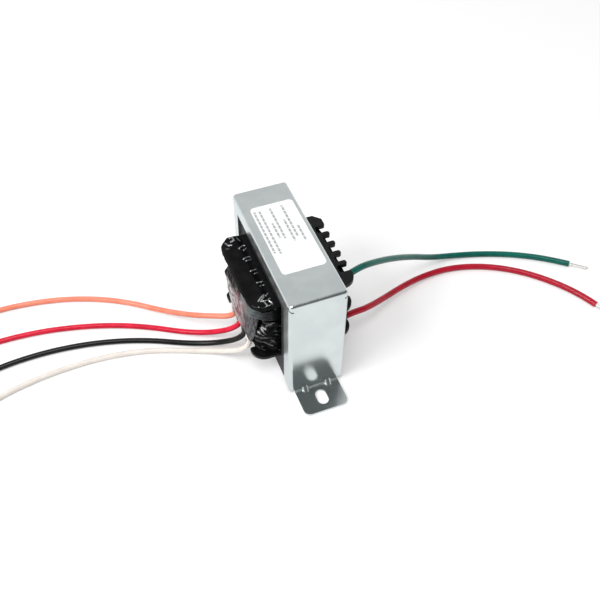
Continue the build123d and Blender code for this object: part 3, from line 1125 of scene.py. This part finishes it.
def tapeTail():
    material, kit = newMaterial("tape tail")
    x, _, _ = kit.axes()
    streak = kit.noise(tailLook["streakGrain"], 3.0, stretch=(1.0, 0.4, 1.0))
    ragged = tailLook["raggedness"] * (streak - 0.5)
    around = (x + ragged).ramp(tailLook["cornerFrom"], tailLook["cornerTo"])
    # The grey-blue beside the film is a painted reflection of the lamps and surroundings
    paintedReflection = kit.blend(streak.ramp(0.35, 0.65), rgb(*tailLook["dark"]), rgb(*tailLook["pale"]))
    kit.finish(kit.shader(
        Base_Color=kit.blend(around, paintedReflection, rgb(*tailLook["aroundCorner"])),
        Roughness=tailLook["roughness"] + 0.15 * streak, IOR=tailLook["index"],
        Alpha=tailLook["cover"] + 0.12 * streak, Normal=kit.bump(streak, tailLook["depth"]),
    ))
    return material


# Sticker: rows of plain grey bars, each with its middle, start and end
sticker = {
    "dark": (0.80, 0.82, 0.815),
    "pale": (0.85, 0.865, 0.86),
    "ink": (0.20, 0.21, 0.22),
    "roughness": 0.42,
    "fibreGrain": 0.0009,
    "inkGrain": 0.0006,
    "depth": 0.00002,
    "centreX": 0.8,
    "barHalf": 0.48,
    "barPitch": 2.3,
    "barGap": 0.16,
    "rowShift": 0.37,
    "rows": [
        (-8.2, -5.5, 19.8), (-6.0, -6.5, 19.6), (-3.3, 2.2, 11.0), (-1.3, 1.0, 19.8), (2.0, -1.5, 11.5),
        (3.9, 0.5, 20.0), (6.2, -2.5, 6.5),
    ],
}


def stickerPaper():
    material, kit = newMaterial("sticker paper")
    x, y, _ = kit.axes()
    acrossRows = x / mm - sticker["centreX"]
    alongRows = y / mm
    breakUp = kit.noise(sticker["inkGrain"], 2.0)
    ink = None
    for index, (middle, start, end) in enumerate(sticker["rows"]):
        inRow = (acrossRows - middle).size() < sticker["barHalf"]
        inSpan = (alongRows > start) * (alongRows < end)
        cell = alongRows / sticker["barPitch"] + index * sticker["rowShift"]
        bar = inRow * inSpan * (cell.fraction() > sticker["barGap"])
        ink = bar if ink is None else ink + bar
    fibre = kit.noise(sticker["fibreGrain"], 3.0)
    paper = kit.blend(fibre, rgb(*sticker["dark"]), rgb(*sticker["pale"]))
    kit.finish(kit.shader(
        Base_Color=kit.blend(ink * (0.35 + 0.75 * breakUp), paper, rgb(*sticker["ink"])),
        Roughness=sticker["roughness"] + 0.1 * fibre, Normal=kit.bump(fibre, sticker["depth"]),
    ))
    return material


# Windings: enamelled copper, ribbed by its turns
winding = {
    "deep": (0.50, 0.15, 0.05),
    "bright": (0.66, 0.24, 0.08),
    "wire": 0.0006,
    "driftGrain": 0.003,
    "depth": 0.0002,
    "roughness": 0.2,
}


def enamelledCopper():
    material, kit = newMaterial("enamelled copper")
    _, _, z = kit.axes()
    turn = (z / winding["wire"]).fraction()
    crown = 1 - (turn - 0.5).size() * 2
    drift = kit.noise(winding["driftGrain"], 3.0)
    kit.finish(kit.shader(
        Base_Color=kit.blend(drift.ramp(0.3, 0.7), rgb(*winding["deep"]), rgb(*winding["bright"])),
        Metallic=0.9, Roughness=winding["roughness"] + 0.2 * drift,
        Normal=kit.bump(crown, winding["depth"]),
    ))
    return material


# Sleeves over the joints, in the leads' colours from the near end on, each after its border
sleeves = {
    "nearest": (0.82, 0.79, 0.74),
    "following": [
        (-0.00915, (0.012, 0.012, 0.014)), (-0.00305, (0.62, 0.012, 0.04)),
        (0.00305, (0.92, 0.34, 0.20)),
    ],
    "grain": 0.0007,
    "depth": 0.00003,
    "roughness": 0.3,
}


def jointSleeve():
    material, kit = newMaterial("joint sleeves")
    _, y, _ = kit.axes()
    fine = kit.noise(sleeves["grain"], 2.0)
    colour = rgb(*sleeves["nearest"])
    for border, shade in sleeves["following"]:
        colour = kit.blend(y > border, colour, rgb(*shade))
    kit.finish(kit.shader(
        Base_Color=colour, Roughness=sleeves["roughness"] + 0.15 * fine,
        Normal=kit.bump(fine, sleeves["depth"]),
    ))
    return material


dress("bracket", zincPlate())
steel = laminatedSteel()
dress("e_laminations", steel)
dress("i_laminations", steel)
dress("bobbin", mouldedBlack(bobbinLook))
copper = enamelledCopper()
dress("primary_winding", copper)
dress("secondary_winding", copper)
dress("joint_sleeves", jointSleeve())
dress("exit_sleeves", mouldedBlack(sleevingLook))
dress("label", stickerPaper())
print("bracket, core, bobbin and sticker dressed")

place(addCombFilm(), creasedBlack(filmLook), ["comb_film"], "black_film")
wrapFilm = creasedBlack(wrapLook)
for node, piece in addCoilWraps():
    place(piece, wrapFilm, [node], "black_tape")
place(addCornerWrap(), wrapFilm, (), "black_tape")
place(addJointTape(), clearTape(), ["joint_tape"], "clear_tape")
place(addTapeTail(), tapeTail(), ["tape_tail"], "clear_tape")
for name, piece in addLeadRoots():
    shade, depth, slotName = leadColours[name]
    place(piece, insulation(name + " root", shade, depth), (), slotName)
print("film and tapes laid")


# Floor: paper that is nearly white to look at, also in metal and clear tape, fades to plain
# white away from the part, and is a little darker where it throws light back
stage = {
    "floorHalf": 3.0,
    "seenShade": 0.99,
    "lightingShade": 0.80,
    "fadeFrom": 0.25,
    "fadeTo": 0.75,
    "glow": 0.3,
}


def addStage():
    half = stage["floorHalf"]
    corners = [(-half, -half, 0), (half, -half, 0), (half, half, 0), (-half, half, 0)]
    floor = newMesh("floor", corners, [(0, 1, 2, 3)], smooth=False)
    material, kit = newMaterial("floor paper")
    bright = stage["seenShade"]
    dim = stage["lightingShade"]
    path = kit.add("ShaderNodeLightPath")
    seen = path.out("Is Camera Ray") + path.out("Is Glossy Ray") + path.out("Is Transmission Ray")
    seen = seen.ramp(0.0, 1.0)
    colour = kit.blend(seen, rgb(dim, dim, dim), rgb(bright, bright, bright))
    x, y, _ = kit.axes()
    away = (x * x + y * y).ramp(stage["fadeFrom"] ** 2, stage["fadeTo"] ** 2)
    white = stage["glow"] + (1 - stage["glow"]) * away
    paper = kit.shader(Base_Color=colour, Roughness=0.9, Specular_IOR_Level=0.1)
    beyond = kit.add("ShaderNodeEmission", {}, {"Color": rgb(1, 1, 1), "Strength": 1.0}).out()
    kit.finish(kit.add("ShaderNodeMixShader", {}, {0: white * seen, 1: paper, 2: beyond}).out())
    floor.data.materials.append(material)


# World: dark in front, bright behind and a little overhead, and white low down all round
surround = {
    "front": 0.15,
    "behind": 0.64,
    "overhead": 0.2,
}


def addWorld():
    world = bpy.data.worlds.new("studio")
    scene.world = world
    world.use_nodes = True
    kit = Kit(world.node_tree)
    toward = kit.add("ShaderNodeTexCoord").out("Generated")
    split = kit.add("ShaderNodeSeparateXYZ", {}, {0: toward})
    backward = split.out("Y")
    upward = split.out("Z")
    glow = surround["front"] + surround["behind"] * backward.ramp(-0.15, 0.45)
    glow = glow + surround["overhead"] * upward.ramp(0.88, 0.97)
    glow = glow + (1 - glow) * (1 - upward.ramp(0.10, 0.30))
    back = kit.add("ShaderNodeBackground", {}, {"Color": rgb(1, 1, 1), "Strength": glow}).out()
    kit.add("ShaderNodeOutputWorld", {}, {"Surface": back})


# Softboxes: place, width of their square, power
softboxes = {
    "left softbox": ((-0.75, -0.15, 0.75), 0.45, 7.0),
    "overhead softbox": ((-0.2, -0.35, 1.2), 0.6, 7.0),
}
aim = (0, 0, 0.03)


def addSoftbox(name, spot, width, power):
    lamp = bpy.data.lights.new(name, "AREA")
    lamp.shape = "SQUARE"
    lamp.size = width
    lamp.energy = power
    holder = bpy.data.objects.new(name, lamp)
    holder.location = spot
    toward = Vector(aim) - Vector(spot)
    holder.rotation_euler = toward.to_track_quat("-Z", "Y").to_euler()
    scene.collection.objects.link(holder)


addStage()
addWorld()
for name, (spot, width, power) in softboxes.items():
    addSoftbox(name, spot, width, power)
scene.view_settings.view_transform = "Standard"
print("stage and light set")
